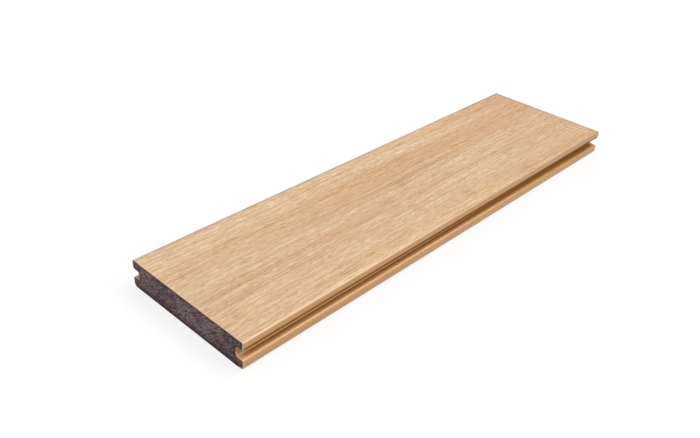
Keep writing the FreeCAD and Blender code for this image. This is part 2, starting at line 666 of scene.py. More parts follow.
    def finish(self, colour: Input, roughness: Input, specular: float) -> bpy.types.Material:
        """Plug the colour and the shine in.

        Args:
            colour: socket or colour.
            roughness: socket or number.
            specular: strength of the mirror part.

        Returns:
            The finished material.
        """
        self.plug(colour, self.shader.inputs["Base Color"])
        self.plug(roughness, self.shader.inputs["Roughness"])
        self.shader.inputs["Specular IOR Level"].default_value = specular
        return self.material


@dataclass(frozen=True)
class GrainLayer:
    """One layer of the printed grain: its cells' size and how it tints."""

    across: float
    along: float
    darker: Ramp
    paler: Ramp = Ramp(0.0, 1.0, 0.0)
    detail: float = 2.0

    def draw(self, recipe: Recipe, grain: Input) -> bpy.types.NodeSocket:
        """Add the layer's pattern, laid out along the grain lines."""
        return recipe.noise(recipe.cells(grain, (self.across, self.along, 0.0)), self.detail)


@dataclass(frozen=True)
class OakCap:
    """The extruded cap: printed and pressed oak on top, plain on the edges, with painted shade and painted
    highlights.
    """

    name: str = "oak_cap_extruded"
    specular: float = 0.6
    oak: Colour = (0.677, 0.436, 0.234)
    oak_pale: Colour = (0.707, 0.502, 0.312)
    warm: Colour = (0.95, 0.85, 0.74)
    dark: Colour = (0.85, 0.78, 0.69)
    pale: Colour = (1.11, 1.15, 1.21)
    pore: Colour = (0.72, 0.6, 0.48)
    pore_share: float = 0.6
    broad: GrainLayer = GrainLayer(26.0, 700.0, Ramp(0.33, 0.67))
    bands: GrainLayer = GrainLayer(8.0, 500.0, Ramp(0.5, 0.3, 0.6), Ramp(0.52, 0.7, 0.4))
    streaks: GrainLayer = GrainLayer(2.6, 260.0, Ramp(0.49, 0.32, 0.7), Ramp(0.53, 0.68, 0.65))
    lines: GrainLayer = GrainLayer(1.2, 38.0, Ramp(0.48, 0.32, 0.9), Ramp(0.54, 0.64, 0.9))
    ticks: GrainLayer = GrainLayer(1.0, 12.0, Ramp(0.49, 0.35, 0.85), Ramp(0.53, 0.65, 0.9))
    specks: GrainLayer = GrainLayer(1.0, 5.0, Ramp(0.48, 0.32, 0.7), Ramp(0.54, 0.68, 0.7), 1.0)
    hairs: GrainLayer = GrainLayer(0.4, 34.0, Ramp(0.48, 0.25, 0.5), detail=3.0)
    # Painted shade: the walking face darker and pinker towards the far end, in place of the sheen that only
    # the near end catches.
    far_shade: Colour = (0.95, 0.88, 0.82)
    far_shade_zone: Ramp = Ramp(60.0, 250.0)
    margin_tone: Colour = (1.06, 1.09, 1.12)
    margin_zone: Ramp = Ramp(28.0, 54.0)
    edge: Colour = (0.74, 0.385, 0.13)
    edge_dark: Colour = (0.67, 0.335, 0.105)
    drawn: GrainLayer = GrainLayer(0.9, 260.0, Ramp(0.35, 0.65))
    # Painted shade colour for the grooves, the lips' undersides and the foot.
    sheltered: Colour = (0.4, 0.28, 0.1)
    # Painted shade: the edges and grooves darker towards the far end, where the light falls off.
    far_side_shade: Colour = (0.92, 0.9, 0.88)
    far_side_shade_zone: Ramp = Ramp(150.0, 225.0)
    # Painted highlight colour for the lower arris, the grooves' roots and their lit floors.
    arris: Colour = (1.0, 0.665, 0.35)
    # Painted highlight colour for the upper arris, and the heights over which it takes over.
    top_arris: Colour = (0.96, 0.735, 0.47)
    top_arris_zone: Ramp = Ramp(21.0, 24.0)
    # Painted shade colour for the far and left edges of the walking face.
    rim: Colour = (0.73, 0.8, 0.89)
    worn: Colour = (0.8, 0.62, 0.46)
    worn_share: float = 0.6
    roughness: Span = (0.33, 0.58)
    sheltered_roughness: Ramp = Ramp(0.45, 1.0, 0.5)
    hair_roughness: Span = (-0.05, 0.07)
    arris_polish: Ramp = Ramp(0.0, 0.4, 0.1)
    relief_depth: float = 0.1
    relief_strength: float = 0.4
    line_relief: float = 0.6

    def print_oak(self, r: Recipe, grain: Input, lines: Input, hairs: Input) -> bpy.types.NodeSocket:
        """Print the walking face, from its broadest tones to its pores.

        Args:
            r: the material's recipe.
            grain: socket with each point's place along the grain.
            lines: socket with the pattern of the lines.
            hairs: socket with the pattern of the hairs.

        Returns:
            The colour's socket.
        """
        top = r.tint(self.oak, self.broad.draw(r, grain), self.broad.darker, self.oak_pale)
        layers = (
            (self.bands, self.bands.draw(r, grain), self.warm),
            (self.streaks, self.streaks.draw(r, grain), self.dark),
            (self.lines, lines, self.dark),
            (self.ticks, self.ticks.draw(r, grain), self.dark),
            (self.specks, self.specks.draw(r, grain), self.dark),
        )
        for layer, pattern, shade in layers:
            top = r.tint(top, pattern, layer.darker, shade, "MULTIPLY")
            top = r.tint(top, pattern, layer.paler, self.pale, "MULTIPLY")
        top = r.tint(top, hairs, self.hairs.darker, self.dark, "MULTIPLY")
        top = r.blend(r.maths("MULTIPLY", r.attribute("pore"), self.pore_share), top, self.pore, "MULTIPLY")

        place = r.place()
        # Painted shade towards the far end, in place of the near end's sheen.
        far = r.zone(r.separate(place, "Y"), self.far_shade_zone)
        top = r.blend(far, top, self.far_shade, "MULTIPLY")
        margin = r.zone(r.maths("ABSOLUTE", r.separate(place, "X"), 0.0), self.margin_zone)
        margin = r.maths("MULTIPLY", margin, r.maths("SUBTRACT", 1.0, far))
        return r.blend(margin, top, self.margin_tone, "MULTIPLY")

    def colour_edges(self, r: Recipe, grain: Input) -> bpy.types.NodeSocket:
        """Colour the plain edges and the grooves, with painted shade in the grooves, under the lips and
        towards the far end.

        Args:
            r: the material's recipe.
            grain: socket with each point's place along the grain.

        Returns:
            The colour's socket.
        """
        side = r.tint(self.edge_dark, self.drawn.draw(r, grain), self.drawn.darker, self.edge)
        # Painted shade in the grooves, under the lips and at the foot.
        side = r.blend(r.attribute("sheltered"), side, self.sheltered, "MULTIPLY")
        # Painted shade towards the far end of the edges.
        far = r.zone(r.separate(r.place(), "Y"), self.far_side_shade_zone)
        return r.blend(far, side, self.far_side_shade, "MULTIPLY")

    def set_roughness(self, r: Recipe, hairs: Input) -> bpy.types.NodeSocket:
        """Vary the shine: polished arrises, a matt groove and fine hairs.

        Args:
            r: the material's recipe.
            hairs: socket with the pattern of the hairs.

        Returns:
            The roughness's socket.
        """
        roughness = r.rescale(r.attribute("walking_face"), 0.0, 1.0, self.roughness)
        dulled = r.follow(r.attribute("sheltered"), self.sheltered_roughness)
        roughness = r.maths("ADD", roughness, dulled)
        roughness = r.maths("ADD", roughness, r.vary(hairs, self.hair_roughness))
        return r.maths("SUBTRACT", roughness, r.follow(r.attribute("arris"), self.arris_polish))

    def build(self) -> bpy.types.Material:
        """Make the material."""
        r = Recipe(self.name)
        grain = r.attribute("grain", "Vector")
        lines = self.lines.draw(r, grain)
        hairs = self.hairs.draw(r, grain)
        top = self.print_oak(r, grain, lines, hairs)
        colour = r.blend(r.attribute("walking_face"), self.colour_edges(r, grain), top)
        # Painted highlights on the arrises, in the grooves' roots and on their floors near the open end.
        on_top = r.zone(r.separate(r.place(), "Z"), self.top_arris_zone)
        colour = r.blend(r.attribute("arris"), colour, r.blend(on_top, self.arris, self.top_arris))
        # Painted shade along the far and left edges of the walking face.
        colour = r.blend(r.attribute("rim"), colour, self.rim, "MULTIPLY")
        colour = r.blend(r.maths("MULTIPLY", r.attribute("worn"), self.worn_share), colour, self.worn)
        height = r.maths("ADD", hairs, r.maths("MULTIPLY", lines, self.line_relief))
        r.relief(height, self.relief_depth, self.relief_strength)
        return r.finish(colour, self.set_roughness(r, hairs), self.specular)


@dataclass(frozen=True)
class CutCap:
    """The cap where the saw went through it: dull and smeared, darker round the groove's roof, and paler on
    its outer strip and groove floor, where the pale stands in part for a painted glint.
    """

    name: str = "oak_cap_sawn"
    specular: float = 0.3
    roughness: Span = (0.68, 0.85)
    pale: Colour = (0.95, 0.67, 0.4)
    dark: Colour = (0.8, 0.51, 0.27)
    smear: Cells = Cells((1.1, 0.0, 0.5), 3.0)
    smear_pale: Ramp = Ramp(0.35, 0.65)
    groove_zone: Ramp = Ramp(58.0, 59.0)
    # Darker colour round the groove's roof, and the heights over which it shows.
    roof_dark: Colour = (0.42, 0.25, 0.11)
    roof_zone: Ramp = Ramp(12.5, 15.0, 0.75)
    below_face_zone: Ramp = Ramp(22.0, 20.0)
    # Paler on the cut's outer strip and groove floor: partly the cut cap's own paler colour, partly a
    # painted glint at the lower lip's corner.
    pale_and_glint: Colour = (1.0, 0.74, 0.49)
    outer_zone: Ramp = Ramp(66.0, 67.0)
    floor_zone: Ramp = Ramp(13.0, 11.0)
    core_dust: Colour = (0.13, 0.08, 0.07)
    dust_zone: Ramp = Ramp(-56.0, -62.0, 0.85)
    grit: Cells = Cells((0.12, 0.0, 0.12))
    grit_shade: Colour = (0.6, 0.55, 0.5)
    grit_dark: Ramp = Ramp(0.5, 0.3, 0.3)
    relief_depth: float = 0.1
    relief_strength: float = 0.5

    def build(self) -> bpy.types.Material:
        """Make the material."""
        r = Recipe(self.name)
        place = r.place()
        across = r.separate(place, "X")
        height = r.separate(place, "Z")
        smear = r.pattern(place, self.smear)
        grit = r.pattern(place, self.grit)
        colour = r.tint(self.dark, smear, self.smear_pale, self.pale)
        grooved = r.zone(across, self.groove_zone)
        # Darker round the groove's roof.
        roof = r.maths("MULTIPLY", grooved, r.zone(height, self.roof_zone))
        roof = r.maths("MULTIPLY", roof, r.zone(height, self.below_face_zone))
        colour = r.blend(roof, colour, self.roof_dark)
        # Paler outer strip and groove floor, partly a painted glint.
        floor = r.maths("MULTIPLY", grooved, r.zone(height, self.floor_zone))
        colour = r.blend(r.maths("MAXIMUM", r.zone(across, self.outer_zone), floor), colour, self.pale_and_glint)
        colour = r.blend(r.zone(across, self.dust_zone), colour, self.core_dust)
        colour = r.tint(colour, grit, self.grit_dark, self.grit_shade, "MULTIPLY")
        r.relief(grit, self.relief_depth, self.relief_strength)
        return r.finish(colour, r.vary(smear, self.roughness), self.specular)


@dataclass(frozen=True)
class SawnCore:
    """Sawn wood-plastic: violet-brown, with paler fibres dragged by the saw."""

    name: str = "composite_core_sawn"
    specular: float = 0.3
    roughness: Span = (0.8, 0.66)
    matrix: Colour = (0.23, 0.145, 0.15)
    dark: Colour = (0.075, 0.036, 0.034)
    fibre: Colour = (0.4, 0.285, 0.3)
    chip: Colour = (0.36, 0.24, 0.235)
    skin: Colour = (0.4, 0.3, 0.26)
    swirl: Cells = Cells((9.0, 9.0, 9.0), 1.0)
    swirl_reach: float = 4.0
    cloud: Cells = Cells((12.0, 12.0, 6.0), 3.0, 30.0)
    cloud_chips: Ramp = Ramp(0.49, 0.59)
    cloud_dark: Ramp = Ramp(0.5, 0.38, 0.9)
    drift: Cells = Cells((30.0, 30.0, 30.0), 1.0)
    drift_dark: Ramp = Ramp(0.52, 0.38, 0.5)
    drift_pale: Ramp = Ramp(0.46, 0.6, 0.75)
    flakes: Cells = Cells((1.5, 1.5, 0.9))
    flakes_pale: Ramp = Ramp(0.7, 0.9, 0.6)
    dragged: Cells = Cells((5.5, 5.5, 1.1), 2.0, 38.0)
    dragged_dark: Ramp = Ramp(0.48, 0.35, 0.95)
    dragged_pale: Ramp = Ramp(0.53, 0.65)
    crossed: Cells = Cells((3.0, 3.0, 0.8), 2.0, 12.0)
    crossed_dark: Ramp = Ramp(0.46, 0.34, 0.6)
    crossed_pale: Ramp = Ramp(0.58, 0.7, 0.6)
    grit: Cells = Cells((0.3, 0.3, 0.3))
    grit_dark: Ramp = Ramp(0.5, 0.3, 0.5)
    # Painted shade in the saw's torn-out pits.
    pit_shade: float = 0.7
    relief_depth: float = 0.3
    relief_strength: float = 0.6

    def build(self) -> bpy.types.Material:
        """Make the material."""
        r = Recipe(self.name)
        place = r.place()
        bent = r.bend(place, r.pattern(place, self.swirl, "Color"), self.swirl_reach)
        dragged = r.pattern(bent, self.dragged)
        crossed = r.pattern(bent, self.crossed)
        flakes = r.chips(bent, self.flakes)
        cloud = r.pattern(place, self.cloud)
        drift = r.pattern(place, self.drift)
        grit = r.pattern(place, self.grit)

        colour = r.tint(self.matrix, cloud, self.cloud_chips, self.chip)
        layers = (
            (cloud, self.cloud_dark, self.dark),
            (drift, self.drift_dark, self.dark),
            (drift, self.drift_pale, self.fibre),
            (flakes, self.flakes_pale, self.fibre),
            (dragged, self.dragged_dark, self.dark),
            (dragged, self.dragged_pale, self.fibre),
            (crossed, self.crossed_dark, self.dark),
            (crossed, self.crossed_pale, self.fibre),
            (grit, self.grit_dark, self.dark),
        )
        for pattern, ramp, tone in layers:
            colour = r.tint(colour, pattern, ramp, tone)
        # Painted shade in the torn-out pits.
        colour = r.blend(r.maths("MULTIPLY", r.attribute("pit"), self.pit_shade), colour, self.dark)
        # Darker near the outline, where the skin is denser, and painted shade along the foot.
        colour = r.blend(r.attribute("skin"), colour, self.skin, "MULTIPLY")
        r.relief(r.maths("ADD", grit, dragged), self.relief_depth, self.relief_strength)
        return r.finish(colour, r.vary(dragged, self.roughness), self.specular)


@dataclass(frozen=True)
class ExtrudedCore:
    """The bare underside: the same mix with the smooth, lined skin of the die."""

    name: str = "composite_core_extruded"
    specular: float = 0.4
    roughness: Span = (0.48, 0.66)
    skin: Colour = (0.12, 0.082, 0.08)
    line: Colour = (0.075, 0.05, 0.05)
    lines: Cells = Cells((0.9, 320.0, 0.0), 3.0)
    lines_skin: Ramp = Ramp(0.35, 0.65)
    fleck: Colour = (0.26, 0.2, 0.18)
    drag: Cells = Cells((6.0, 90.0, 0.0), 3.0)
    drag_pale: Ramp = Ramp(0.45, 0.7, 0.35)
    flecks: Cells = Cells((0.7, 3.2, 0.7))
    flecks_pale: Ramp = Ramp(0.64, 0.78, 0.6)
    relief_depth: float = 0.2
    relief_strength: float = 0.5

    def build(self) -> bpy.types.Material:
        """Make the material."""
        r = Recipe(self.name)
        place = r.place()
        lines = r.pattern(place, self.lines)
        drag = r.pattern(place, self.drag)
        flecks = r.pattern(place, self.flecks)
        colour = r.tint(self.line, lines, self.lines_skin, self.skin)
        colour = r.tint(colour, drag, self.drag_pale, self.fleck)
        colour = r.tint(colour, flecks, self.flecks_pale, self.fleck)
        r.relief(r.maths("ADD", lines, flecks), self.relief_depth, self.relief_strength)
        return r.finish(colour, r.vary(drag, self.roughness), self.specular)


class Part:
    """A mesh that is gathered face by face and then joined to the frame."""

    def __init__(self) -> None:
        """Start with nothing."""
        self.points: list[np.ndarray] = []
        self.count = 0
        self.faces: list[Quad] = []
        self.skins: list[int] = []
        self.measures: dict[str, list[np.ndarray]] = {}

    def add_points(self, points: np.ndarray, **measures: np.ndarray) -> np.ndarray:
        """Add points.

        Args:
            points: rows of x, y and z in millimetres.
            measures: what each point carries for its finish, by name.

        Returns:
            The new points' numbers.
        """
        numbers = np.arange(self.count, self.count + len(points))
        self.points.append(points)
        self.count += len(points)
        for name, values in measures.items():
            self.measures.setdefault(name, []).append(values)
        return numbers

    def add_faces(self, faces: np.ndarray | list[Quad], skin: Skin) -> None:
        """Add faces that all take one finish."""
        rows = [tuple(int(k) for k in face) for face in faces]
        self.faces.extend(rows)
        self.skins.extend([skin.value] * len(rows))

    def build(self, name: str, materials: list[bpy.types.Material], crease: float) -> bpy.types.Object:
        """Make the object.

        Args:
            name: the piece's name.
            materials: one for each skin.
            crease: angle in degrees above which an edge stays sharp.

        Returns:
            The new object.
        """
        mesh = bpy.data.meshes.new(name)
        points = np.vstack(self.points) * MM
        mesh.from_pydata(points.tolist(), [], self.faces)
        for material in materials:
            mesh.materials.append(material)
        mesh.polygons.foreach_set("material_index", self.skins)
        mesh.polygons.foreach_set("use_smooth", [True] * len(self.faces))
        for measure, parts in self.measures.items():
            values = np.concatenate(parts).astype(np.float32)
            if values.ndim == 2:
                made = mesh.attributes.new(measure, "FLOAT_VECTOR", "POINT")
                made.data.foreach_set("vector", values.ravel())
            else:
                made = mesh.attributes.new(measure, "FLOAT", "POINT")
                made.data.foreach_set("value", values)
        mesh.update()
        mesh.set_sharp_from_angle(angle=math.radians(crease))
        thing = bpy.data.objects.new(name, mesh)
        bpy.context.scene.collection.objects.link(thing)
        return thing


def sheet(across: int, along: int) -> np.ndarray:
    """Number the faces of a sheet of points.

    Args:
        across: points in each row.
        along: number of rows.

    Returns:
        Faces that look outwards when the rows run counter-clockwise.
    """
    row, column = np.meshgrid(np.arange(along - 1), np.arange(across - 1), indexing="ij")
    start = (row * across + column).ravel()
    return np.stack([start, start + across, start + across + 1, start + 1], axis=1)


@dataclass(frozen=True)
class Walk:
    """The cap's outer points, row after row along the board, in millimetres."""

    x: np.ndarray
    y: np.ndarray
    z: np.ndarray
    normal: np.ndarray
    travel: np.ndarray

    @property
    def outward(self) -> np.ndarray:
        """How far each point faces away from the board's middle, from -1 to 1."""
        return self.normal[:, 0] * np.sign(self.x)

    @property
    def upward(self) -> np.ndarray:
        """How far each point faces up, from 0 to 1."""
        return np.clip(self.normal[:, 1], 0.0, 1.0)


@dataclass(frozen=True)
class PaintedLight:
    """Where shade and highlights are painted into the cap's colour.

    The painted highlights show most at the near end.  Places
    are in millimetres, and turns in radians from level.
    """

    section: Section
    run: Run
    # The painted highlights show most at the near end and fade over this run.
    near_highlight_run: Ramp = Ramp(130.0, -200.0)
    open_end_run: Ramp = Ramp(14.0, 2.0)
    open_end_light: float = 0.8
    groove_shade: Ramp = Ramp(0.2, 5.5, 0.6)
    far_groove_shade: Ramp = Ramp(150.0, 225.0, 0.25)
    lip_shade: Span = (1.1, 2.2)
    foot_shade: Ramp = Ramp(4.0, 1.0, 0.28)
    root_turn: float = 0.64
    root_spread: float = 0.27
    root_share: float = 0.85
    lit_floor_share: float = 0.4
    lit_floor_fade: int = 3
    lit_floor_focus: int = 8
    arris_peak: float = 0.45
    arris_rise: float = 1.4
    arris_fall: Span = (0.65, 0.5)
    # The painted highlight on the lower arris fades over this run.
    lower_arris_run: Ramp = Ramp(230.0, -40.0)
    lower_arris_clearance: float = 1.0
    upper_arris_share: float = 0.55
    upper_arris_full: float = 0.325
    upper_arris_focus: int = 3

    @property
    def roof(self) -> float:
        """Height of the groove's roof."""
        return self.section.lower_lip + self.section.groove_height

    def near_highlight(self, at: Walk) -> np.ndarray:
        """Say how strongly the painted highlights show at each place along the board, most at the near end.
        """
        return self.near_highlight_run.at(at.y)

    def open_end(self, at: Walk) -> np.ndarray:
        """Say how near each point is to the near end, where light falls in."""
        return self.open_end_run.at(at.y + self.run.length / 2)

    def in_groove(self, at: Walk) -> np.ndarray:
        """Tell which points lie between the floor and the roof of a groove."""
        return (at.z > self.section.lower_lip - TOUCH) & (at.z < self.roof + TOUCH)

    def behind_mouth(self, at: Walk) -> np.ndarray:
        """Say how far inside the lower lip's rounded edge each point lies, in millimetres."""
        return self.section.width / 2 - self.section.lower_lip_radius - np.abs(at.x)

    def lower_root(self, at: Walk) -> np.ndarray:
        """Say how much painted highlight each point gets in a groove's lower root."""
        turned = np.arccos(at.upward)
        deep_in = self.groove_shade.at(self.behind_mouth(at)) > self.groove_shade.share / 2
        bright = np.exp(-(((turned - self.root_turn) / self.root_spread) ** 2))
        return bright * self.in_groove(at) * deep_in * self.near_highlight(at)

    def sheltered(self, at: Walk) -> np.ndarray:
        """Give the shares of painted shade: in the grooves, under the lips, at the foot."""
        groove = self.groove_shade.at(self.behind_mouth(at)) * self.in_groove(at)
        groove = groove * (1.0 - self.lower_root(at)) * (1.0 - self.open_end_light * self.open_end(at))
        lip_low, lip_high = self.lip_shade
        lip = smooth_step(at.z, self.roof + self.section.upper_lip_radius + lip_low, self.roof + lip_high)
        lip = lip * (at.z > self.roof - TOUCH)
        far_groove = self.far_groove_shade.at(at.y) * self.in_groove(at)
        foot = self.foot_shade.at(at.z) * (at.outward > 0.0)
        return np.maximum.reduce([groove, lip, far_groove, foot])

    def painted_highlights(self, at: Walk) -> np.ndarray:
        """Give the shares of painted highlight: at the arrises, in the grooves' roots and on their floors
        where light falls in.
        """
        radius = self.section.lower_lip_radius
        past = np.minimum(-self.behind_mouth(at), 0.0) + radius * np.arccos(at.upward)
        near_highlight = self.near_highlight(at)
        far_fall, near_fall = self.arris_fall
        fall = far_fall + (near_fall - far_fall) * near_highlight
        fade = np.where(past < self.arris_peak, self.arris_rise, fall)
        lower = np.exp(-(((past - self.arris_peak) / fade) ** 2)) * self.lower_arris_run.at(at.y)
        below = at.z < self.roof - self.lower_arris_clearance
        lower = lower * below * (at.outward > -TOUCH) * (at.upward > 0.0)
        upper = at.outward * at.upward**self.upper_arris_focus
        upper = np.clip(upper / self.upper_arris_full, 0.0, 1.0)
        upper = self.upper_arris_share * near_highlight * upper * (at.z > self.roof)
        root = self.root_share * self.lower_root(at)
        floor = self.open_end(at) ** self.lit_floor_fade * at.upward**self.lit_floor_focus
        floor = self.lit_floor_share * floor * self.in_groove(at)
        return np.maximum.reduce([lower, upper, root, floor])


@dataclass(frozen=True)
class GrainedCap:
    """The cap: one thin closed skin with pressed grain on its walking face."""

    section: Section
    run: Run
    grain: PressedGrain = PressedGrain()
    pitch: float = 1.2
    face_pitch: float = 0.5
    row_pitch: float = 2.45
    crease: float = 40.0
    face_margin: Ramp = Ramp(0.0, 1.6)
    face_turn: float = 0.6
    ragged: Figure = Figure(41, (2.5, 1.0), (120.0, 20.0))
    ragged_range: Span = (0.4, 1.6)
    ragged_end: float = 9.0
    rim_wear: float = 0.12
    rim_reach: float = 0.28
    worn_reach: float = 0.8
    worn_share: Span = (0.4, 1.0)
    ripple: Figure = Figure(42, (2.6, 140.0), (120.0, 20.0))
    ripple_depth: float = 0.03
    # Painted shade along the far end, the left edge and the right edge's far part.
    far_rim_shade: Ramp = Ramp(5.5, 1.5, 0.8)
    left_rim_shade: Ramp = Ramp(2.4, 0.8)
    right_rim_shade: Ramp = Ramp(-0.8, 0.3, 0.5)
    right_rim_shade_run: Ramp = Ramp(-120.0, 100.0)

    @property
    def flat_half(self) -> float:
        """Half the width of the flat of the walking face."""
        return self.section.width / 2 - self.section.top_radius

    def normals(self, path: np.ndarray) -> np.ndarray:
        """Find the outward direction at each point of the section."""
        ahead = np.gradient(path, axis=0)
        ahead = ahead / np.linalg.norm(ahead, axis=1, keepdims=True)
        return np.stack([ahead[:, 1], -ahead[:, 0]], axis=1)

    def walk(self, path: np.ndarray, rows: np.ndarray) -> Walk:
        """Repeat the section at each row along the board.

        Args:
            path: the section, as rows of x and z.
            rows: the places along the board.

        Returns:
            All the outer points, with their way round the section from its middle.
        """
        steps = np.linalg.norm(np.diff(path, axis=0), axis=1)
        travel = np.concatenate([[0.0], np.cumsum(steps)])
        return Walk(
            x=np.tile(path[:, 0], len(rows)),
            y=np.repeat(rows, len(path)),
            z=np.tile(path[:, 1], len(rows)),
            normal=np.tile(self.normals(path), (len(rows), 1)),
            travel=np.tile(travel[-1] / 2 - travel, len(rows)),
        )

    def groove_steps(self, path: np.ndarray) -> np.ndarray:
        """Tell which steps of the section lie in a groove or under its upper lip.

        Args:
            path: the section, as rows of x and z.

        Returns:
            True for each step from one point to the next that does.
        """
        section = self.section
        x, z = np.abs(path[:, 0]), path[:, 1]
        floor = section.lower_lip
        mouth = section.width / 2 - section.lower_lip_radius
        lip = floor + section.groove_height + section.upper_lip_radius
        inside = (z > floor - TOUCH) & (z < lip + TOUCH) & ((z > floor + TOUCH) | (x < mouth + TOUCH))
        return inside[:-1] & inside[1:]

    def rim(self, at: Walk) -> np.ndarray:
        """Say where painted shade makes the edge of the walking face darker and cooler in tone."""
        far = self.far_rim_shade.at(self.run.length / 2 - at.y)
        left = self.left_rim_shade.at(self.flat_half + at.x)
        right = self.right_rim_shade.at(at.x - self.flat_half) * self.right_rim_shade_run.at(at.y)
        on_face = at.z > self.section.thickness - self.section.top_radius
        return np.maximum.reduce([far, left, right]) * on_face

    def build(self, materials: list[bpy.types.Material]) -> bpy.types.Object:
        """Make the cap.

        Args:
            materials: the finishes, one for each skin.

        Returns:
            The finished piece.
        """
        part = Part()
        path = self.section.path(Layer.CAP, self.pitch, self.face_pitch)
        lining = self.section.path(Layer.CORE, self.pitch, self.face_pitch)
        rows = self.run.rows(self.row_pitch)
        count = len(path)
        at = self.walk(path, rows)
        thickness = self.section.thickness

        inside = self.face_margin.at(self.flat_half - np.abs(at.x)) * (at.z > thickness - TOUCH)
        line = self.grain.lines(at.travel, at.y)
        pressed = self.grain.depth(line, at.y) * inside
        pore = self.grain.pores(line, at.y) * inside

        from_end = self.run.from_end(at.y)
        least, most = self.ragged_range
        ragged = least + (most - least) * self.ragged.at(at.travel, self.ragged_end * np.sign(at.y))
        wear = self.rim_wear * ragged * np.exp(-((from_end / self.rim_reach) ** 2))
        ripple = self.ripple_depth * self.ripple.at(at.travel, at.y) * (1.0 - inside)
        on_tail = (at.z < TOUCH) & (np.abs(at.x) < self.section.cap_end + TOUCH)
        inward = np.where(on_tail, 0.0, pressed + ripple + wear)
        faint, full = self.worn_share
        worn = np.exp(-((from_end / self.worn_reach) ** 2)) * (faint + (full - faint) * ragged / most)

        exposure = PaintedLight(self.section, self.run)
        x, z = at.x - at.normal[:, 0] * inward, at.z - at.normal[:, 1] * inward
        outside = part.add_points(
            np.stack([x, at.y, z], axis=1),
            grain=np.stack([line, at.y, np.zeros_like(at.y)], axis=1),
            pore=pore,
            walking_face=smooth_step(at.z, thickness - self.face_turn, thickness),
            worn=worn,
            rim=self.rim(at),
            # Painted highlights: arrises, grooves' roots and lit groove floors.
            arris=exposure.painted_highlights(at),
            # Painted shade: grooves, under the lips and at the foot.
            sheltered=exposure.sheltered(at),
        )
        faces = sheet(count, len(rows)).reshape(len(rows) - 1, count - 1, 4)
        groove = self.groove_steps(path)
        part.add_faces(faces[:, ~groove].reshape(-1, 4), Skin.EXTRUDED)
        part.add_faces(faces[:, groove].reshape(-1, 4), Skin.GROOVE)
        self._line_with(part, lining, outside.reshape(len(rows), count))
        return part.build("grained_cap", materials, self.crease)

    def _line_with(self, part: Part, lining: np.ndarray, outside: np.ndarray) -> None:
        """Close the cap with its inner face, its sawn ends and its two tails.

        Args:
            part: mesh to add to.
            lining: the section of the cap's inner face.
            outside: numbers of the outer points, a row for each place along.
        """
        half = self.run.length / 2
        none = np.zeros(len(lining))
        rims = []
        for y in (-half, half):
            rims.append(
                part.add_points(
                    np.stack([lining[:, 0], none + y, lining[:, 1]], axis=1),
                    grain=np.stack([lining[:, 0], none + y, none], axis=1),
                    worn=none + 1.0,
                    **dict.fromkeys(("pore", "walking_face", "rim", "arris", "sheltered"), none),
                )
            )
        near, far = rims
        part.add_faces(np.stack([near[:-1], near[1:], far[1:], far[:-1]], axis=1), Skin.EXTRUDED)
        first, last = outside[0], outside[-1]
        part.add_faces(np.stack([first[:-1], first[1:], near[1:], near[:-1]], axis=1), Skin.SAWN)
        part.add_faces(np.stack([last[1:], last[:-1], far[:-1], far[1:]], axis=1), Skin.SAWN)
        right_tail = [*outside[::-1, 0], near[0], far[0]]
        left_tail = [*outside[:, -1], far[-1], near[-1]]
        part.add_faces([tuple(right_tail), tuple(left_tail)], Skin.EXTRUDED)


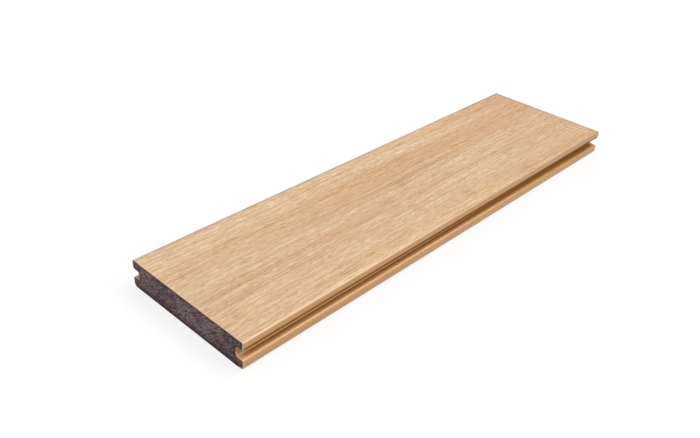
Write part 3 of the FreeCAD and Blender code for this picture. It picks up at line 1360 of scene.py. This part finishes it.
@dataclass(frozen=True)
class SawnCorePiece:
    """The core: a solid bar with two sawn ends and a bare underside."""

    section: Section
    run: Run
    near_cut: SawCut = SawCut(51)
    far_cut: SawCut = SawCut(61, blade_radius=155.0)
    pitch: float = 0.8
    underside_pitch: float = 1.5
    row_pitch: float = 8.0
    end_pitch: float = 0.45
    end_clearance: float = 0.5
    shake: float = 0.3
    shake_seed: int = 81
    weld: float = 1e-6
    crease: float = 45.0
    die_line_depth: float = 0.08
    die_lines: Figure = Figure(71, (1.7, 420.0), (80.0, 80.0))
    die_drift: Figure = Figure(72, (11.0, 160.0), (80.0, 80.0))
    drift_share: float = 0.3
    bare_margin: Ramp = Ramp(0.2, 1.6)
    dense_skin: Ramp = Ramp(3.5, 1.2, 0.4)
    densest_skin: Ramp = Ramp(1.6, 0.3, 0.6)
    # Painted contact shade along the foot of the sawn ends.
    core_foot_shade: Ramp = Ramp(7.0, 1.5)

    def outline(self) -> np.ndarray:
        """Walk all round the core's section, as rows of x and z."""
        wrapped = self.section.path(Layer.CORE, self.pitch, self.pitch)
        half = self.section.cap_end
        count = round(2 * half / self.underside_pitch)
        across = np.linspace(-half, half, count + 1)
        foot = np.stack([across, np.zeros_like(across)], axis=1)
        return np.vstack([wrapped, foot])

    def build(self, materials: list[bpy.types.Material]) -> bpy.types.Object:
        """Make the core.

        Args:
            materials: the finishes, one for each skin.

        Returns:
            The finished piece.
        """
        part = Part()
        outline = self.outline()
        rows = self.run.rows(self.row_pitch)
        count = len(outline)
        x = np.tile(outline[:, 0], len(rows))
        z = np.tile(outline[:, 1], len(rows))
        y = np.repeat(rows, count)
        bare = self.bare_margin.at(self.section.cap_end - np.abs(x)) * (z < TOUCH)
        lines = (1.0 - self.drift_share) * self.die_lines.at(x, y)
        drift = self.drift_share * self.die_drift.at(x, y)
        lift = self.die_line_depth * (lines + drift) * bare
        points = np.stack([x, y, z + lift], axis=1)
        none = np.zeros_like(x)
        rings = part.add_points(points, pit=none, skin=none + 1.0).reshape(len(rows), count)

        closed = np.concatenate([rings, rings[:, :1]], axis=1)
        low, high = closed[:-1], closed[1:]
        walls = np.stack([low[:, :-1], high[:, :-1], high[:, 1:], low[:, 1:]], axis=2)
        part.add_faces(walls.reshape(-1, 4), Skin.EXTRUDED)
        self._saw(part, outline, rings[0], self.near_cut, False)
        self._saw(part, outline, rings[-1], self.far_cut, True)
        return part.build("sawn_core", materials, self.crease)

    def _grid_inside(self, outline: np.ndarray) -> tuple[np.ndarray, np.ndarray]:
        """Scatter points evenly inside the section, clear of its outline.

        Args:
            outline: the core's section.

        Returns:
            The points, and how far each lies from the outline.
        """
        half = self.section.width / 2
        across = np.arange(-half, half, self.end_pitch)
        up = np.arange(0.0, self.section.thickness, self.end_pitch)
        x, z = np.meshgrid(across, up)
        shake = np.random.default_rng(self.shake_seed).uniform(-self.shake, self.shake, (2, *x.shape))
        points = np.stack([x + shake[0] * self.end_pitch, z + shake[1] * self.end_pitch], axis=-1)
        points = points.reshape(-1, 2)
        step = np.roll(outline, -1, axis=0) - outline
        crossings = np.zeros(len(points), dtype=int)
        nearest = np.full(len(points), np.inf)
        for (sx, sz), (dx, dz) in zip(outline, step):
            share = ((points[:, 0] - sx) * dx + (points[:, 1] - sz) * dz) / (dx * dx + dz * dz)
            share = np.clip(share, 0.0, 1.0)
            gap = np.hypot(points[:, 0] - sx - share * dx, points[:, 1] - sz - share * dz)
            nearest = np.minimum(nearest, gap)
            spans = (points[:, 1] >= sz) != (points[:, 1] >= sz + dz)
            if dz:
                meet = sx + (points[:, 1] - sz) * dx / dz
                crossings += spans & (points[:, 0] < meet)
        inside = (crossings % 2 == 1) & (nearest > self.end_clearance * self.end_pitch)
        return points[inside], nearest[inside]

    def _saw(self, part: Part, outline: np.ndarray, rim: np.ndarray, cut: SawCut, far: bool) -> None:
        """Close one end with a sawn face.

        Args:
            part: mesh to add to.
            outline: the core's section.
            rim: numbers of the points round this end.
            cut: the saw's marks.
            far: whether it is the far end, which looks along +Y.
        """
        inner, from_edge = self._grid_inside(outline)
        flat = [Vector(p) for p in np.vstack([outline, inner])]
        around = [(k, (k + 1) % len(outline)) for k in range(len(outline))]
        _, _, faces, origins, _, _ = delaunay_2d_cdt(flat, around, [], 1, self.weld)
        x, z = inner[:, 0], inner[:, 1]
        half = self.run.length / 2
        depth = cut.depth(x, z)
        y = half - depth if far else depth - half
        near_skin = self.dense_skin.at(from_edge) + self.densest_skin.at(from_edge)
        # The denser skin near the outline, and painted shade along the foot.
        skin_and_foot_shade = np.maximum(near_skin, self.core_foot_shade.at(z))
        new = part.add_points(np.stack([x, y, z], axis=1), pit=cut.pits(x, z), skin=skin_and_foot_shade)
        number = np.concatenate([rim, new])
        place = [int(number[origin[0]]) for origin in origins]
        triangles = [tuple(place[k] for k in face) for face in faces]
        if far:
            triangles = [triangle[::-1] for triangle in triangles]
        part.add_faces(triangles, Skin.SAWN)


@dataclass(frozen=True)
class Lamp:
    """A lamp so far off that it falls evenly on the board."""

    name: str
    strength: float
    spread: float
    source: tuple[float, float, float]

    def hang(self) -> bpy.types.Object:
        """Hang the lamp, turned so that its light comes from the source."""
        data = bpy.data.lights.new(self.name, "SUN")
        data.energy = self.strength
        data.angle = math.radians(self.spread)
        lamp = bpy.data.objects.new(self.name, data)
        lamp.rotation_euler = Vector(self.source).to_track_quat("Z", "Y").to_euler()
        bpy.context.scene.collection.objects.link(lamp)
        return lamp


@dataclass(frozen=True)
class Studio:
    """A white room, with a key light behind the board and a side light on its right."""

    sensor: float = 36.0
    lens: float = 41.216
    clip: Span = (10.0, 50000.0)
    shift: Span = (0.0243, -0.02)
    azimuth: float = 42.706
    elevation: float = 31.615
    roll: float = 3.016
    distance: float = 772.43
    target: tuple[float, float, float] = (-47.755, -43.703, 0.0)
    room_light: float = 0.6
    lamps: tuple[Lamp, ...] = (
        Lamp("key_light", 1.16, 35.0, (0.18, 0.46, 0.87)),
        Lamp("side_light", 0.5, 22.0, (0.69, 0.42, 0.59)),
    )
    floor_colour: Colour = (0.35, 0.35, 0.35)
    floor_glow: float = 1.66
    floor_glow_share: float = 0.5
    floor_reach: float = 6000.0
    floor_drop: float = 0.2

    def place_camera(self) -> bpy.types.Object:
        """Put the camera where the photograph was taken from."""
        az, el, roll = (math.radians(a) for a in (self.azimuth, self.elevation, self.roll))
        back = Vector((math.sin(az) * math.cos(el), -math.cos(az) * math.cos(el), math.sin(el)))
        level = Vector((math.cos(az), math.sin(az), 0.0))
        upright = back.cross(level)
        right = level * math.cos(roll) + upright * math.sin(roll)
        up = upright * math.cos(roll) - level * math.sin(roll)
        data = bpy.data.cameras.new("camera")
        data.sensor_fit = "HORIZONTAL"
        data.sensor_width = self.sensor
        data.lens = self.lens
        data.shift_x, data.shift_y = self.shift
        data.clip_start, data.clip_end = (distance * MM for distance in self.clip)
        camera = bpy.data.objects.new("camera", data)
        turn = Matrix((right, up, back)).transposed().to_4x4()
        place = Vector(self.target) * MM + back * self.distance * MM
        camera.matrix_world = Matrix.Translation(place) @ turn
        bpy.context.scene.collection.objects.link(camera)
        bpy.context.scene.camera = camera
        return camera

    def light_room(self) -> None:
        """Light the room evenly, and show it white to the camera."""
        world = bpy.data.worlds.new("room")
        bpy.context.scene.world = world
        world.use_nodes = True
        tree = world.node_tree
        tree.nodes.clear()
        dim = tree.nodes.new("ShaderNodeBackground")
        dim.inputs["Strength"].default_value = self.room_light
        white = tree.nodes.new("ShaderNodeBackground")
        white.inputs["Strength"].default_value = 1.0
        for node in (dim, white):
            node.inputs["Color"].default_value = (1.0, 1.0, 1.0, 1.0)
        mix = tree.nodes.new("ShaderNodeMixShader")
        output = tree.nodes.new("ShaderNodeOutputWorld")
        tree.links.new(self._direct_look(tree), mix.inputs[0])
        tree.links.new(dim.outputs[0], mix.inputs[1])
        tree.links.new(white.outputs[0], mix.inputs[2])
        tree.links.new(mix.outputs[0], output.inputs["Surface"])

    @staticmethod
    def _direct_look(tree: bpy.types.NodeTree) -> bpy.types.NodeSocket:
        """Find rays from the camera, or that a gloss or a clear body sends on."""
        path = tree.nodes.new("ShaderNodeLightPath")
        first = tree.nodes.new("ShaderNodeMath")
        first.operation = "MAXIMUM"
        tree.links.new(path.outputs["Is Camera Ray"], first.inputs[0])
        tree.links.new(path.outputs["Is Glossy Ray"], first.inputs[1])
        second = tree.nodes.new("ShaderNodeMath")
        second.operation = "MAXIMUM"
        tree.links.new(first.outputs[0], second.inputs[0])
        tree.links.new(path.outputs["Is Transmission Ray"], second.inputs[1])
        return second.outputs[0]

    def lay_floor(self) -> bpy.types.Object:
        """Lay a pale floor that reads white but keeps the board's shadow."""
        material = bpy.data.materials.new("pale_floor")
        material.use_nodes = True
        tree = material.node_tree
        tree.nodes.clear()
        matt = tree.nodes.new("ShaderNodeBsdfDiffuse")
        matt.inputs["Color"].default_value = (*self.floor_colour, 1.0)
        white = tree.nodes.new("ShaderNodeEmission")
        white.inputs["Strength"].default_value = self.floor_glow
        share = tree.nodes.new("ShaderNodeMath")
        share.operation = "MULTIPLY"
        share.inputs[1].default_value = self.floor_glow_share
        mix = tree.nodes.new("ShaderNodeMixShader")
        output = tree.nodes.new("ShaderNodeOutputMaterial")
        tree.links.new(self._direct_look(tree), share.inputs[0])
        tree.links.new(share.outputs[0], mix.inputs[0])
        tree.links.new(matt.outputs[0], mix.inputs[1])
        tree.links.new(white.outputs[0], mix.inputs[2])
        tree.links.new(mix.outputs[0], output.inputs["Surface"])

        mesh = bpy.data.meshes.new("floor")
        reach = self.floor_reach * MM
        corners = [(-reach, -reach, 0.0), (reach, -reach, 0.0), (reach, reach, 0.0), (-reach, reach, 0.0)]
        mesh.from_pydata(corners, [], [(0, 1, 2, 3)])
        mesh.materials.append(material)
        floor = bpy.data.objects.new("floor", mesh)
        floor.location.z = -self.floor_drop * MM
        bpy.context.scene.collection.objects.link(floor)
        return floor

    def set_up(self) -> None:
        """Set up the camera, the light and the floor."""
        self.place_camera()
        self.light_room()
        for lamp in self.lamps:
            lamp.hang()
        self.lay_floor()
        bpy.context.scene.view_settings.view_transform = "Standard"


def overall_size(node: str) -> tuple[float, ...]:
    """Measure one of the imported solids, in millimetres to two decimal places."""
    low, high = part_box(node)
    return tuple(round((b - a) / MM, 2) for a, b in zip(low, high))


def join_frame(piece: bpy.types.Object, node: str) -> None:
    """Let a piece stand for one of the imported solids.

    Args:
        piece: the dressed piece.
        node: the solid that it stands for.
    """
    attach(piece, "root")
    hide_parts(node)
    size = " x ".join(f"{side:.1f}" for side in overall_size(node))
    LOG.info("%s stands for %s, %s mm, %d faces", piece.name, node, size, len(piece.data.polygons))


def main() -> None:
    """Dress the board, set up the studio and note the sizes."""
    logging.basicConfig(level=logging.INFO, format="%(name)s: %(message)s")
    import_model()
    width, length, thickness = overall_size("cap_shell")
    section = Section(width, thickness)
    run = Run(length)
    groove_cap = OakCap(name="oak_cap_groove", specular=0.0)
    cap = GrainedCap(section, run).build([OakCap().build(), CutCap().build(), groove_cap.build()])
    join_frame(cap, "cap_shell")
    core = SawnCorePiece(section, run).build([ExtrudedCore().build(), SawnCore().build()])
    join_frame(core, "core")
    Studio().set_up()
    LOG.info("the studio is set up")


if __name__ == "__main__":
    main()
